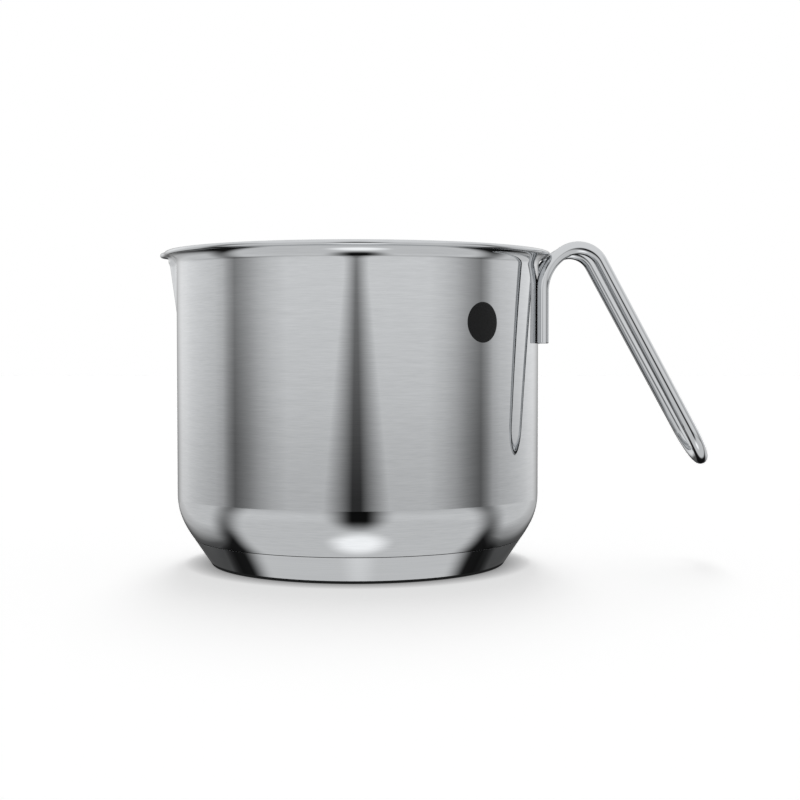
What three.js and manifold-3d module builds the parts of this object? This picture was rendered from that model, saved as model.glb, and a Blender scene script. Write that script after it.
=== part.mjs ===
// A 14 cm stainless steel milk pan: a drawn shell with a beaded, flared rim and a pressed
// pouring spout, an encapsulated base (aluminium disc under a steel cap) and a welded handle
// bent from one round rod.
//
// Millimetres, +Z up. The origin is the centre of the underside that the pan stands on.
// The handle points along +X and the spout along -X.

import * as THREE from 'three';
import { mergeVertices } from 'three/addons/utils/BufferGeometryUtils.js';
import Module from 'manifold-3d';

// Driving dimensions of the shell
const wallRadius = 70.8;
const panHeight = 121.5;
const shellSheet = 0.8;
const cornerRadius = 25.3;
const coneAngle = THREE.MathUtils.degToRad(33.8);
const coneAboveSeam = 3.3;
const knuckleRadius = 8;
const flareRadius = 4.9;
const rimOverhang = 4.7;
const beadRadius = 0.95;

// Driving dimensions of the encapsulated base
const capSheet = 0.5;
const capEdgeRadius = 1;
const coreThickness = 5.2;
const coreEdgeRadius = 0.8;
const coreFootRadius = 0.4;
const lapLength = 1.3;

// Driving dimensions of the pouring spout
const spoutDrop = 33.1;
const spoutDepth = 4.1;
const lipReach = 2.4;
const lipTurn = 2;
const spoutRimWidth = 26;
const spoutFootWidth = 5;

// Driving dimensions of the handle
const rodDiameter = 5;
const legDrop = 35.4;
const weldBite = 0.35;
const footSpacing = 31.4;
const tipSpacing = 25.2;
const shoulderRadius = 17.4;
const shoulderAngle = THREE.MathUtils.degToRad(61.2);
const crownRadius = 10;
const armLength = 74.8;
const armSlope = THREE.MathUtils.degToRad(28.5);

// Clearances
const seatGap = 0.3;
const rimGap = 0.4;
const cutOverrun = 5;

// Fineness of the facets
const turnSegments = 64;
const spoutCrowdingShare = 0.5;
const spoutRows = 4;
const cornerSteps = 5;
const knuckleSteps = 4;
const flareSteps = 4;
const beadSteps = 9;
const edgeSteps = 3;
const rodSides = 14;
const rodSteps = 144;
const plugSegments = 180;

const rodRadius = rodDiameter / 2;
const sinCone = Math.sin(coneAngle);
const cosCone = Math.cos(coneAngle);

/** A bare metal finish. */
function metal(name, color, roughness) {
  return new THREE.MeshStandardMaterial({ name, color, roughness, metalness: 1 });
}

const brushedSteel = metal('brushed_steel', 0xb9bcbe, 0.34);
const turnedSteel = metal('turned_steel', 0xb4b7b9, 0.22);
const polishedSteel = metal('polished_steel', 0xc8cbcd, 0.1);
const rawAluminium = metal('raw_aluminium', 0xc9cbce, 0.5);

// Heights of the base, worked out from the underside upwards. The cone is the slanting side
// that the base cap and the foot of the shell share. A place beside it is given by its
// distance along the cone from the foot and its depth behind the cone's outer face.
const coreBottom = capSheet + seatGap;
const coreTop = coreBottom + coreThickness;
const floorBottom = coreTop + seatGap;
const lapDepth = capSheet + seatGap;
const knuckleCentreHeight = floorBottom + knuckleRadius;
const knuckleEndHeight = knuckleCentreHeight - knuckleRadius * sinCone;
const knuckleEnd = (knuckleEndHeight - lapDepth * sinCone) / cosCone;
const capEdge = knuckleEnd + lapLength;
const shellLedge = capEdge + seatGap;
const coneEnd = shellLedge + coneAboveSeam;
const coneTopRadius = wallRadius - cornerRadius * (1 - cosCone);
const footRadius = coneTopRadius - coneEnd * sinCone;
const cornerCentreHeight = coneEnd * cosCone + cornerRadius * sinCone;
const knuckleCentreRadius = footRadius + (knuckleCentreHeight * sinCone - lapDepth - knuckleRadius) / cosCone;

// Heights and radii of the rim
const flareStart = panHeight - shellSheet - flareRadius;
const flareCentreRadius = wallRadius + flareRadius;
const rimRadius = wallRadius + rimOverhang;
const beadCentreRadius = rimRadius - beadRadius;
const beadCentreHeight = panHeight - beadRadius;
const spoutFoot = panHeight - spoutDrop;

const point = (radius, height) => new THREE.Vector2(radius, height);

/** A point beside the cone, by its distance along the cone and its depth behind the outer face. */
function besideCone(along, depth) {
  return point(footRadius + along * sinCone - depth * cosCone, along * cosCone + depth * sinCone);
}

/** Points of an arc, both ends included, with angles measured from the outward radius. */
function arc(centreRadius, centreHeight, radius, from, to, steps) {
  const points = [];
  for (let i = 0; i <= steps; i += 1) {
    const angle = from + ((to - from) * i) / steps;
    points.push(point(centreRadius + radius * Math.cos(angle), centreHeight + radius * Math.sin(angle)));
  }
  return points;
}

/** The direction from one circle's centre to where it crosses another, on the side asked for. */
function crossingAngle(from, radius, to, otherRadius, side) {
  const apart = from.distanceTo(to);
  const opening = Math.acos((apart ** 2 + radius ** 2 - otherRadius ** 2) / (2 * apart * radius));
  return Math.atan2(to.y - from.y, to.x - from.x) + side * opening;
}

/** Moves the lathe's columns closer together around the spout, the same way on every turned piece. */
function crowdTowardsSpout(geometry) {
  const position = geometry.getAttribute('position');
  for (let i = 0; i < position.count; i += 1) {
    const radius = Math.hypot(position.getX(i), position.getY(i));
    const fromSpout = Math.atan2(-position.getY(i), -position.getX(i));
    const turned = fromSpout - spoutCrowdingShare * Math.sin(fromSpout);
    position.setX(i, -radius * Math.cos(turned));
    position.setY(i, -radius * Math.sin(turned));
  }
}

/** Revolves a profile about the Z axis. The profile starts and ends on the axis. */
function turned(profile) {
  const geometry = new THREE.LatheGeometry(profile, turnSegments);
  geometry.rotateX(Math.PI / 2);
  crowdTowardsSpout(geometry);
  return geometry;
}

/** Joins the shared corners of a geometry and drops the triangles that have no area. */
function welded(geometry) {
  const bare = geometry.clone();
  bare.deleteAttribute('normal');
  bare.deleteAttribute('uv');
  const merged = mergeVertices(bare);
  const corners = merged.getIndex().array;
  const kept = [];
  for (let i = 0; i < corners.length; i += 3) {
    const [a, b, c] = [corners[i], corners[i + 1], corners[i + 2]];
    if (a !== b && b !== c && c !== a) kept.push(a, b, c);
  }
  merged.setIndex(kept);
  return merged;
}

function namedMesh(name, geometry, material) {
  const faceted = geometry.index ? geometry.toNonIndexed() : geometry;
  faceted.computeVertexNormals();
  const mesh = new THREE.Mesh(faceted, material);
  mesh.name = name;
  return mesh;
}

// The pan body

/** Heights on the straight wall: its lower end, and rows that let the spout widen evenly. */
function wallRows() {
  const rows = [cornerCentreHeight];
  for (let i = 0; i < spoutRows; i += 1) rows.push(spoutFoot + ((flareStart - spoutFoot) * i) / spoutRows);
  return rows;
}

/** The body's outside from the floor's centre up the wall and the flare to the bead. */
function bodyOutside() {
  const flareCentre = point(flareCentreRadius, flareStart);
  const beadCentre = point(beadCentreRadius, beadCentreHeight);
  const flareEnd = crossingAngle(flareCentre, flareRadius, beadCentre, beadRadius, 1);
  return [
    point(0, floorBottom),
    ...arc(knuckleCentreRadius, knuckleCentreHeight, knuckleRadius, -Math.PI / 2, -coneAngle, knuckleSteps),
    besideCone(shellLedge, lapDepth),
    besideCone(shellLedge, 0),
    ...arc(wallRadius - cornerRadius, cornerCentreHeight, cornerRadius, -coneAngle, 0, cornerSteps),
    ...wallRows().slice(1).map((height) => point(wallRadius, height)),
    ...arc(flareCentreRadius, flareStart, flareRadius, Math.PI, flareEnd, flareSteps),
  ];
}

/** The rolled edge, from where the flare's underside runs into it round to its top. */
function rimBead() {
  const flareCentre = point(flareCentreRadius, flareStart);
  const beadCentre = point(beadCentreRadius, beadCentreHeight);
  const underside = crossingAngle(beadCentre, beadRadius, flareCentre, flareRadius, -1);
  const top = crossingAngle(beadCentre, beadRadius, flareCentre, flareRadius + shellSheet, -1) + 2 * Math.PI;
  return arc(beadCentreRadius, beadCentreHeight, beadRadius, underside, top, beadSteps).slice(1);
}

/** The body's inside from the rim down to the floor's centre, one sheet behind the outside. */
function bodyInside() {
  const flareCentre = point(flareCentreRadius, flareStart);
  const beadCentre = point(beadCentreRadius, beadCentreHeight);
  const outer = flareRadius + shellSheet;
  const flareEnd = crossingAngle(flareCentre, outer, beadCentre, beadRadius, 1);
  const innerWall = wallRadius - shellSheet;
  const cornerInside = cornerRadius - shellSheet;
  const knuckleInside = knuckleRadius - shellSheet;
  return [
    ...arc(flareCentreRadius, flareStart, outer, flareEnd, Math.PI, flareSteps).slice(1),
    ...wallRows().reverse().map((height) => point(innerWall, height)),
    ...arc(wallRadius - cornerRadius, cornerCentreHeight, cornerInside, 0, -coneAngle, cornerSteps).slice(1),
    besideCone(shellLedge + shellSheet, shellSheet),
    besideCone(shellLedge - seatGap, lapDepth + shellSheet),
    ...arc(knuckleCentreRadius, knuckleCentreHeight, knuckleInside, -coneAngle, -Math.PI / 2, knuckleSteps),
    point(0, floorBottom + shellSheet),
  ];
}

/** How far the spout's keel stands out from the round shell at a height. */
function keelDepth(height) {
  const keelTop = panHeight - 2 * beadRadius;
  const wallDepth = (spoutDepth * (height - spoutFoot)) / (keelTop - spoutFoot);
  const turn = THREE.MathUtils.smoothstep(height, keelTop - lipTurn, keelTop);
  return THREE.MathUtils.lerp(wallDepth, lipReach, turn);
}

/** Presses the pouring spout into the shell: deepest at its keel, widening from foot to rim. */
function pressSpout(geometry) {
  const position = geometry.getAttribute('position');
  for (let i = 0; i < position.count; i += 1) {
    const height = position.getZ(i);
    if (height <= spoutFoot) continue;
    const radius = Math.hypot(position.getX(i), position.getY(i));
    const fromSpout = Math.atan2(-position.getY(i), -position.getX(i));
    const rise = (height - spoutFoot) / spoutDrop;
    const halfWidth = THREE.MathUtils.lerp(spoutFootWidth, spoutRimWidth, rise) / 2;
    const across = Math.min(1, (Math.abs(fromSpout) * wallRadius) / halfWidth);
    const swell = Math.cos((across * Math.PI) / 2) ** 2;
    const pressed = radius + keelDepth(height) * swell;
    position.setX(i, (position.getX(i) * pressed) / radius);
    position.setY(i, (position.getY(i) * pressed) / radius);
  }
}

function makeBody() {
  const geometry = turned([...bodyOutside(), ...rimBead(), ...bodyInside()]);
  pressSpout(geometry);
  return namedMesh('pan_body', welded(geometry), brushedSteel);
}

// The encapsulated base

/** A rounded corner between a level face and the cone, as points from the face to the cone. */
function coneFootArc(depth, bottom, radius, steps) {
  const turn = Math.PI / 2 - coneAngle;
  const sharp = footRadius + (bottom * sinCone - depth) / cosCone;
  const centreRadius = sharp - radius * Math.tan(turn / 2);
  return arc(centreRadius, bottom + radius, radius, -Math.PI / 2, -coneAngle, steps);
}

function makeBaseCap() {
  const inside = coneFootArc(capSheet, capSheet, capEdgeRadius - capSheet, edgeSteps).reverse();
  const profile = [
    point(0, 0),
    ...coneFootArc(0, 0, capEdgeRadius, edgeSteps),
    besideCone(capEdge, 0),
    besideCone(capEdge, capSheet),
    ...inside,
    point(0, capSheet),
  ];
  return namedMesh('base_cap', welded(turned(profile)), turnedSteel);
}

function makeBaseCore() {
  const side = capSheet + seatGap;
  const topTurn = Math.PI / 2 + coneAngle;
  const topSharp = footRadius + (coreTop * sinCone - side) / cosCone;
  const topCentre = topSharp - coreEdgeRadius * Math.tan(topTurn / 2);
  const profile = [
    point(0, coreBottom),
    ...coneFootArc(side, coreBottom, coreFootRadius, edgeSteps),
    ...arc(topCentre, coreTop - coreEdgeRadius, coreEdgeRadius, -coneAngle, Math.PI / 2, edgeSteps),
    point(0, coreTop),
  ];
  return namedMesh('base_core', welded(turned(profile)), rawAluminium);
}

// The handle

const legRadiusFromAxis = wallRadius + rodRadius - weldBite;
const legX = Math.sqrt(legRadiusFromAxis ** 2 - (footSpacing / 2) ** 2);
const legFoot = panHeight - legDrop;

// The shoulder bend starts as high as lets the rod pass outside the bead.
const beadX = Math.sqrt(beadCentreRadius ** 2 - (footSpacing / 2) ** 2);
const shoulderReach = shoulderRadius + rodRadius + beadRadius + rimGap;
const shoulderStart = beadCentreHeight - Math.sqrt(shoulderReach ** 2 - (legX + shoulderRadius - beadX) ** 2);

/**
 * The handle's centre line. The rod is first a flat hairpin, two slightly converging runs and
 * a round end, and is then bent over a side profile: leg, shoulder, crown and arm.
 */
class BentHairpin extends THREE.Curve {
  constructor() {
    super();
    this.legLength = shoulderStart - legFoot;
    this.shoulderLength = shoulderRadius * shoulderAngle;
    this.crownLength = crownRadius * (Math.PI - armSlope - shoulderAngle);
    this.runLength = this.legLength + this.shoulderLength + this.crownLength + armLength;
    this.taper = Math.atan((footSpacing - tipSpacing) / 2 / this.runLength);
    this.endRadius = tipSpacing / 2 / Math.cos(this.taper);
    this.endTurn = Math.PI - 2 * this.taper;
    this.sideLength = this.runLength / Math.cos(this.taper);
    this.flatLength = 2 * this.sideLength + this.endRadius * this.endTurn;
  }

  /** The flat hairpin at a distance along the rod: how far down the profile, and how far aside. */
  flatPlace(distance) {
    const half = this.flatLength / 2;
    const mirrored = distance > half;
    const walked = mirrored ? this.flatLength - distance : distance;
    const side = mirrored ? 1 : -1;
    if (walked <= this.sideLength) {
      const down = walked * Math.cos(this.taper);
      return { down, aside: side * (footSpacing / 2 - walked * Math.sin(this.taper)) };
    }
    const angle = this.taper + (walked - this.sideLength) / this.endRadius;
    const centre = this.runLength - this.endRadius * Math.sin(this.taper);
    return {
      down: centre + this.endRadius * Math.sin(angle),
      aside: side * this.endRadius * Math.cos(angle),
    };
  }

  /** The side profile at a distance from the leg's foot. */
  profilePlace(down) {
    if (down <= this.legLength) return { x: legX, z: legFoot + down };
    const shoulderCentreX = legX + shoulderRadius;
    const onShoulder = Math.min(down - this.legLength, this.shoulderLength) / shoulderRadius;
    const shoulderX = shoulderCentreX - shoulderRadius * Math.cos(onShoulder);
    const shoulderZ = shoulderStart + shoulderRadius * Math.sin(onShoulder);
    if (down <= this.legLength + this.shoulderLength) return { x: shoulderX, z: shoulderZ };
    const crownCentreX = shoulderX + crownRadius * Math.cos(shoulderAngle);
    const crownCentreZ = shoulderZ - crownRadius * Math.sin(shoulderAngle);
    const pastShoulder = down - this.legLength - this.shoulderLength;
    const onCrown = shoulderAngle + Math.min(pastShoulder, this.crownLength) / crownRadius;
    const crownX = crownCentreX - crownRadius * Math.cos(onCrown);
    const crownZ = crownCentreZ + crownRadius * Math.sin(onCrown);
    const onArm = Math.max(0, pastShoulder - this.crownLength);
    return { x: crownX + onArm * Math.sin(armSlope), z: crownZ - onArm * Math.cos(armSlope) };
  }

  getPoint(t, target = new THREE.Vector3()) {
    const { down, aside } = this.flatPlace(t * this.flatLength);
    const { x, z } = this.profilePlace(down);
    return target.set(x, aside, z);
  }
}

function makeRod() {
  const section = new THREE.Shape();
  section.absarc(0, 0, rodRadius, 0, 2 * Math.PI);
  return new THREE.ExtrudeGeometry(section, {
    steps: rodSteps,
    curveSegments: rodSides / 2,
    bevelEnabled: false,
    extrudePath: new BentHairpin(),
  });
}

/** A round plug that stands where the wall is, a seat gap larger, to form the weld lands. */
function makeWallPlug() {
  const plugHeight = flareStart - legFoot + cutOverrun;
  const facetReach = Math.cos(Math.PI / plugSegments);
  const plugRadius = (wallRadius + seatGap) / facetReach;
  const plug = new THREE.CylinderGeometry(plugRadius, plugRadius, plugHeight, plugSegments);
  plug.rotateX(Math.PI / 2);
  plug.translate(0, 0, flareStart - plugHeight / 2);
  return plug;
}

const wasm = await Module();
wasm.setup();

function toSolid(geometry) {
  const closed = welded(geometry);
  return new wasm.Manifold(new wasm.Mesh({
    numProp: 3,
    vertProperties: new Float32Array(closed.getAttribute('position').array),
    triVerts: new Uint32Array(closed.getIndex().array),
  }));
}

function toGeometry(solid) {
  const { vertProperties, triVerts } = solid.getMesh();
  const geometry = new THREE.BufferGeometry();
  geometry.setAttribute('position', new THREE.BufferAttribute(vertProperties, 3));
  geometry.setIndex(new THREE.BufferAttribute(triVerts, 1));
  return geometry;
}

function makeHandle() {
  const rod = toSolid(makeRod());
  const wall = toSolid(makeWallPlug());
  return namedMesh('handle', toGeometry(rod.subtract(wall)), polishedSteel);
}

const milkPan = new THREE.Group();
milkPan.name = 'milk_pan';
milkPan.add(makeBody(), makeBaseCap(), makeBaseCore(), makeHandle());

export default milkPan;
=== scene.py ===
"""A 14 cm stainless steel milk pan: smooth pieces, finishes, camera and studio.

Metres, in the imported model's frame: +Z up, the underside at zero, the handle along +X and
the pouring spout along -X.
"""

import logging
import math
from dataclasses import dataclass, field
from enum import Enum

import bpy
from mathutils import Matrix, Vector


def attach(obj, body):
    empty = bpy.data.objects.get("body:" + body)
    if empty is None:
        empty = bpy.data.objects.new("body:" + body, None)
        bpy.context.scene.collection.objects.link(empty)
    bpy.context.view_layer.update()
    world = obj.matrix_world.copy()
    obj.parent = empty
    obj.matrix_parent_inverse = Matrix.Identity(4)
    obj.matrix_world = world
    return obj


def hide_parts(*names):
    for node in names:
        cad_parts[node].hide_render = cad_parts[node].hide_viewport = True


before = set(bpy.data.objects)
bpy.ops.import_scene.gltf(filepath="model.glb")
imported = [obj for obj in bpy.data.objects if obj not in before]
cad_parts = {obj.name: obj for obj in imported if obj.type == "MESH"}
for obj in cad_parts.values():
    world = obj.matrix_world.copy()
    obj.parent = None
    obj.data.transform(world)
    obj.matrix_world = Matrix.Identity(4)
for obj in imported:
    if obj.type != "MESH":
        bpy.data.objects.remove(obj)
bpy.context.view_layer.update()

LOG = logging.getLogger("milk_pan")

Tree = bpy.types.NodeTree
Node = bpy.types.Node
Socket = bpy.types.NodeSocket
Piece = bpy.types.Object
Inputs = dict[int | str, object]
Point = tuple[float, float]
Stops = tuple[Point, ...]

# Type names of the nodes that come up often
MATH = "ShaderNodeMath"
VECTOR_MATH = "ShaderNodeVectorMath"
MAP_RANGE = "ShaderNodeMapRange"
MIX = "ShaderNodeMix"
NOISE = "ShaderNodeTexNoise"
SPLIT = "ShaderNodeSeparateXYZ"
JOIN = "ShaderNodeCombineXYZ"
RAMP = "ShaderNodeValToRGB"
POSITION = "GeometryNodeInputPosition"
SMOOTH = {"interpolation_type": "SMOOTHSTEP"}

# The part of a noise pattern's range that holds nearly all of it
NOISE_SPAN = (0.3, 0.7)
# Points closer together than this become one
WELD_DISTANCE = 0.000001
SHARP_ANGLE = math.radians(30)


class Body(Enum):
    """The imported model's bodies. Nothing on the pan moves, so there is one."""

    ROOT = "root"


class Slot(Enum):
    """The record's material slots that the smooth pieces take."""

    BRUSHED_STEEL = "brushed_steel"
    TURNED_STEEL = "turned_steel"
    POLISHED_STEEL = "polished_steel"


# Small helpers


def linear(code: str) -> tuple[float, float, float, float]:
    """Turns an sRGB hex colour to linear.

    Args:
        code: The colour as "#RRGGBB".

    Returns:
        Linear red, green, blue and an alpha of 1.
    """
    parts = [int(code[i : i + 2], 16) / 255 for i in (1, 3, 5)]
    red, green, blue = [c / 12.92 if c <= 0.04045 else ((c + 0.055) / 1.055) ** 2.4 for c in parts]
    return (red, green, blue, 1.0)


def feed(tree: Tree, node: Node, inputs: Inputs) -> None:
    """Sets or links a node's inputs.

    Args:
        tree: The node's tree.
        node: The node.
        inputs: For each input a value, a socket that feeds it, or a node whose first output in
            use feeds it.
    """
    for key, value in inputs.items():
        if isinstance(value, Node):
            value = next(socket for socket in value.outputs if socket.enabled)
        if isinstance(value, Socket):
            tree.links.new(value, node.inputs[key])
        else:
            node.inputs[key].default_value = value


def add_node(tree: Tree, kind: str, inputs: Inputs | None = None, **settings: object) -> Node:
    """Adds a node with its settings and its links.

    Args:
        tree: The tree that gets the node.
        kind: The node's type name.
        inputs: What its inputs get, as in feed.
        settings: The node's own properties.

    Returns:
        The new node.
    """
    node = tree.nodes.new(kind)
    for name, value in settings.items():
        setattr(node, name, value)
    feed(tree, node, inputs or {})
    return node


def emptied(owner: bpy.types.Material | bpy.types.World) -> Tree:
    """Gives a material or a world a node tree without nodes.

    Args:
        owner: The material or world.

    Returns:
        Its empty tree.
    """
    owner.use_nodes = True
    owner.node_tree.nodes.clear()
    return owner.node_tree


def distance_from_axis(tree: Tree, place: Node | Socket) -> tuple[Node, Node]:
    """The distance of a place from the pan's axis.

    Args:
        tree: The tree.
        place: The place.

    Returns:
        The place at height zero, and its distance.
    """
    level = add_node(tree, VECTOR_MATH, {0: place, 1: Vector((1.0, 1.0, 0.0))}, operation="MULTIPLY")
    return level, add_node(tree, VECTOR_MATH, {0: level}, operation="LENGTH")


def new_geometry_tree(name: str, sockets: dict[str, str]) -> tuple[Tree, Node]:
    """Makes a Geometry Nodes tree with named inputs.

    Args:
        name: The tree's name.
        sockets: Each input's name and type, after the geometry itself.

    Returns:
        The tree, and its input node.
    """
    tree = bpy.data.node_groups.new(name, "GeometryNodeTree")
    for socket, kind in {"Geometry": "Geometry", **sockets}.items():
        tree.interface.new_socket(socket, in_out="INPUT", socket_type=f"NodeSocket{kind}")
    tree.interface.new_socket("Geometry", in_out="OUTPUT", socket_type="NodeSocketGeometry")
    return tree, add_node(tree, "NodeGroupInput")


def finish_tree(tree: Tree, geometry: Node, source: Node) -> None:
    """Ends a tree: smooth faces with true corners kept sharp, real geometry and its material.

    Args:
        tree: The tree.
        geometry: The node that made the mesh.
        source: The tree's input node, which holds the inputs Sharp Angle and Material.
    """
    angle = add_node(tree, "GeometryNodeInputMeshEdgeAngle").outputs["Unsigned Angle"]
    limit = source.outputs["Sharp Angle"]
    sharp = add_node(tree, "FunctionNodeCompare", {0: angle, 1: limit}, operation="GREATER_THAN")
    shade = "GeometryNodeSetShadeSmooth"
    smooth = add_node(tree, shade, {"Geometry": geometry, "Shade Smooth": True}, domain="FACE")
    creases = {"Geometry": smooth, "Selection": sharp, "Shade Smooth": False}
    creased = add_node(tree, shade, creases, domain="EDGE")
    real = add_node(tree, "GeometryNodeRealizeInstances", {"Geometry": creased})
    dress = {"Geometry": real, "Material": source.outputs["Material"]}
    dressed = add_node(tree, "GeometryNodeSetMaterial", dress)
    add_node(tree, "NodeGroupOutput", {"Geometry": dressed})


def turned_tree() -> Tree:
    """Makes the tree that revolves a profile line about the Z axis.

    The profile holds radius in X and height in Z. Its columns stand closer together round the
    spout, as Crowding asks for.

    Returns:
        The tree.
    """
    sockets = {"Columns": "Int", "Crowding": "Float", "Weld Distance": "Float"}
    tree, source = new_geometry_tree(
        "turned profile", {**sockets, "Sharp Angle": "Float", "Material": "Material"}
    )
    sizes = source.outputs
    profile = sizes["Geometry"]
    rows = add_node(tree, "GeometryNodeAttributeDomainSize", {0: profile}).outputs["Point Count"]
    columns = add_node(tree, MATH, {0: sizes["Columns"], 1: 1.0}, operation="ADD")
    counts = {"Size X": 1.0, "Size Y": 1.0, "Vertices X": columns, "Vertices Y": rows}
    grid = add_node(tree, "GeometryNodeMeshGrid", counts)
    place = add_node(tree, POSITION)
    across = add_node(tree, SPLIT, {0: place}).outputs

    # The grid's Y gives the profile's point
    share = add_node(tree, MATH, {0: across["Y"], 1: 0.5}, operation="ADD")
    steps = add_node(tree, MATH, {0: rows, 1: 1.0}, operation="SUBTRACT")
    row = add_node(tree, MATH, {0: share, 1: steps}, operation="MULTIPLY")
    whole = add_node(tree, MATH, {0: row}, operation="ROUND")
    drawn = {"Geometry": profile, "Value": place, "Index": whole}
    sample = add_node(tree, "GeometryNodeSampleIndex", drawn, data_type="FLOAT_VECTOR", domain="POINT")
    outline = add_node(tree, SPLIT, {0: sample}).outputs
    point = add_node(tree, JOIN, {"X": outline["X"], "Z": outline["Z"]})

    # The grid's X gives the angle from the spout
    turn = add_node(tree, MATH, {0: across["X"], 1: 2 * math.pi}, operation="MULTIPLY")
    sine = add_node(tree, MATH, {0: turn}, operation="SINE")
    pulled = add_node(tree, MATH, {0: sine, 1: sizes["Crowding"]}, operation="MULTIPLY")
    angle = add_node(tree, MATH, {0: turn, 1: pulled}, operation="SUBTRACT")
    half_turn = add_node(tree, MATH, {0: angle, 1: math.pi}, operation="ADD")
    turned = add_node(
        tree, "ShaderNodeVectorRotate", {"Vector": point, "Angle": half_turn}, rotation_type="Z_AXIS"
    )
    moved = add_node(tree, "GeometryNodeSetPosition", {"Geometry": grid, "Position": turned})
    weld = {"Geometry": moved, "Distance": sizes["Weld Distance"]}
    finish_tree(tree, add_node(tree, "GeometryNodeMergeByDistance", weld), source)
    return tree


def pressed_spout_tree() -> Tree:
    """Makes the tree that presses the pouring spout into the turned body.

    The keel stands out further with height, then turns back to the lip's reach. Across, the
    swelling follows a squared cosine, and it widens from its foot to the rim.

    Returns:
        The tree.
    """
    names = ("Wall Radius", "Foot Height", "Rim Height", "Keel Top", "Lip Start", "Depth", "Lip Reach")
    names += ("Foot Half Width", "Rim Half Width")
    tree, source = new_geometry_tree("pressed spout", dict.fromkeys(names, "Float"))
    sizes = source.outputs
    place = add_node(tree, POSITION)
    height = add_node(tree, SPLIT, {0: place}).outputs["Z"]
    level, radius = distance_from_axis(tree, place)
    outward = add_node(tree, VECTOR_MATH, {0: level}, operation="NORMALIZE")

    # Across, from the spout's middle plane
    behind = add_node(tree, VECTOR_MATH, {0: level, "Scale": -1.0}, operation="SCALE")
    facing = add_node(tree, SPLIT, {0: behind}).outputs
    signed = add_node(tree, MATH, {0: facing["Y"], 1: facing["X"]}, operation="ARCTAN2")
    from_spout = add_node(tree, MATH, {0: signed}, operation="ABSOLUTE")
    aside = add_node(tree, MATH, {0: from_spout, 1: sizes["Wall Radius"]}, operation="MULTIPLY")
    foot = {"Value": height, "From Min": sizes["Foot Height"]}
    widths = {"To Min": sizes["Foot Half Width"], "To Max": sizes["Rim Half Width"]}
    widening = {**foot, "From Max": sizes["Rim Height"], **widths}
    half_width = add_node(tree, MAP_RANGE, widening, clamp=False)
    quarter = add_node(tree, MAP_RANGE, {"Value": aside, "From Max": half_width, "To Max": math.pi / 2})
    cosine = add_node(tree, MATH, {0: quarter}, operation="COSINE")
    swell = add_node(tree, MATH, {0: cosine, 1: 2.0}, operation="POWER")

    # Upwards, along the keel
    deepening = {**foot, "From Max": sizes["Keel Top"], "To Max": sizes["Depth"]}
    wall_depth = add_node(tree, MAP_RANGE, deepening)
    turning = {"Value": height, "From Min": sizes["Lip Start"], "From Max": sizes["Keel Top"]}
    lip_share = add_node(tree, MAP_RANGE, turning, **SMOOTH)
    reaches = {"Value": lip_share, "To Min": wall_depth, "To Max": sizes["Lip Reach"]}
    keel = add_node(tree, MAP_RANGE, reaches)
    push = add_node(tree, MATH, {0: keel, 1: swell}, operation="MULTIPLY")
    offset = add_node(tree, VECTOR_MATH, {0: outward, "Scale": push}, operation="SCALE")
    on_body = add_node(tree, "FunctionNodeCompare", {0: radius, 1: 0.0}, operation="GREATER_THAN")
    pressing = {"Geometry": sizes["Geometry"], "Selection": on_body, "Offset": offset}
    pressed = add_node(tree, "GeometryNodeSetPosition", pressing)
    add_node(tree, "NodeGroupOutput", {"Geometry": pressed})
    return tree


def rod_tree() -> Tree:
    """Makes the tree that sweeps a round rod along a line, with broken edges at its cut ends.

    It keeps two attributes for the finish: rod_along, the distance from the rod's start, and
    rod_section, the place in its round section.

    Returns:
        The tree.
    """
    names = ("Rod Length", "End Break", "End Share", "Sharp Angle")
    sockets = {"Rod Radius": "Float", "Sides": "Int", **dict.fromkeys(names, "Float")}
    tree, source = new_geometry_tree("bent rod", {**sockets, "Material": "Material"})
    sizes = source.outputs
    line = add_node(tree, "GeometryNodeMeshToCurve", {0: sizes["Geometry"]})
    along = add_node(tree, "GeometryNodeSplineParameter").outputs["Length"]
    keep = "GeometryNodeStoreNamedAttribute"
    marked = add_node(tree, keep, {"Geometry": line, "Name": "rod_along", "Value": along})
    remaining = add_node(tree, MATH, {0: sizes["Rod Length"], 1: along}, operation="SUBTRACT")
    nearest = add_node(tree, MATH, {0: along, 1: remaining}, operation="MINIMUM")
    narrowing = {"Value": nearest, "From Max": sizes["End Break"], "To Min": sizes["End Share"]}
    scale = add_node(tree, MAP_RANGE, narrowing)
    round_bar = {"Resolution": sizes["Sides"], "Radius": sizes["Rod Radius"]}
    circle = add_node(tree, "GeometryNodeCurvePrimitiveCircle", round_bar)
    place = {"Geometry": circle, "Name": "rod_section", "Value": add_node(tree, POSITION)}
    outline = add_node(tree, keep, place, data_type="FLOAT_VECTOR")
    sweep = {"Curve": marked, "Profile Curve": outline, "Scale": scale, "Fill Caps": True}
    finish_tree(tree, add_node(tree, "GeometryNodeCurveToMesh", sweep), source)
    return tree


def mesh_object(
    name: str, points: list[Vector | tuple], edges: list[tuple], faces: list[tuple]
) -> Piece:
    """Makes a mesh object.

    Args:
        name: The object's name.
        points: The mesh's points.
        edges: The mesh's loose edges.
        faces: The mesh's faces.

    Returns:
        The object, in the scene.
    """
    mesh = bpy.data.meshes.new(name)
    mesh.from_pydata(points, edges, faces)
    piece = bpy.data.objects.new(name, mesh)
    bpy.context.scene.collection.objects.link(piece)
    return piece


def line_object(name: str, points: list[Vector]) -> Piece:
    """Makes an object that holds a chain of points, for a tree to work on."""
    return mesh_object(name, points, [(i, i + 1) for i in range(len(points) - 1)], [])


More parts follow.
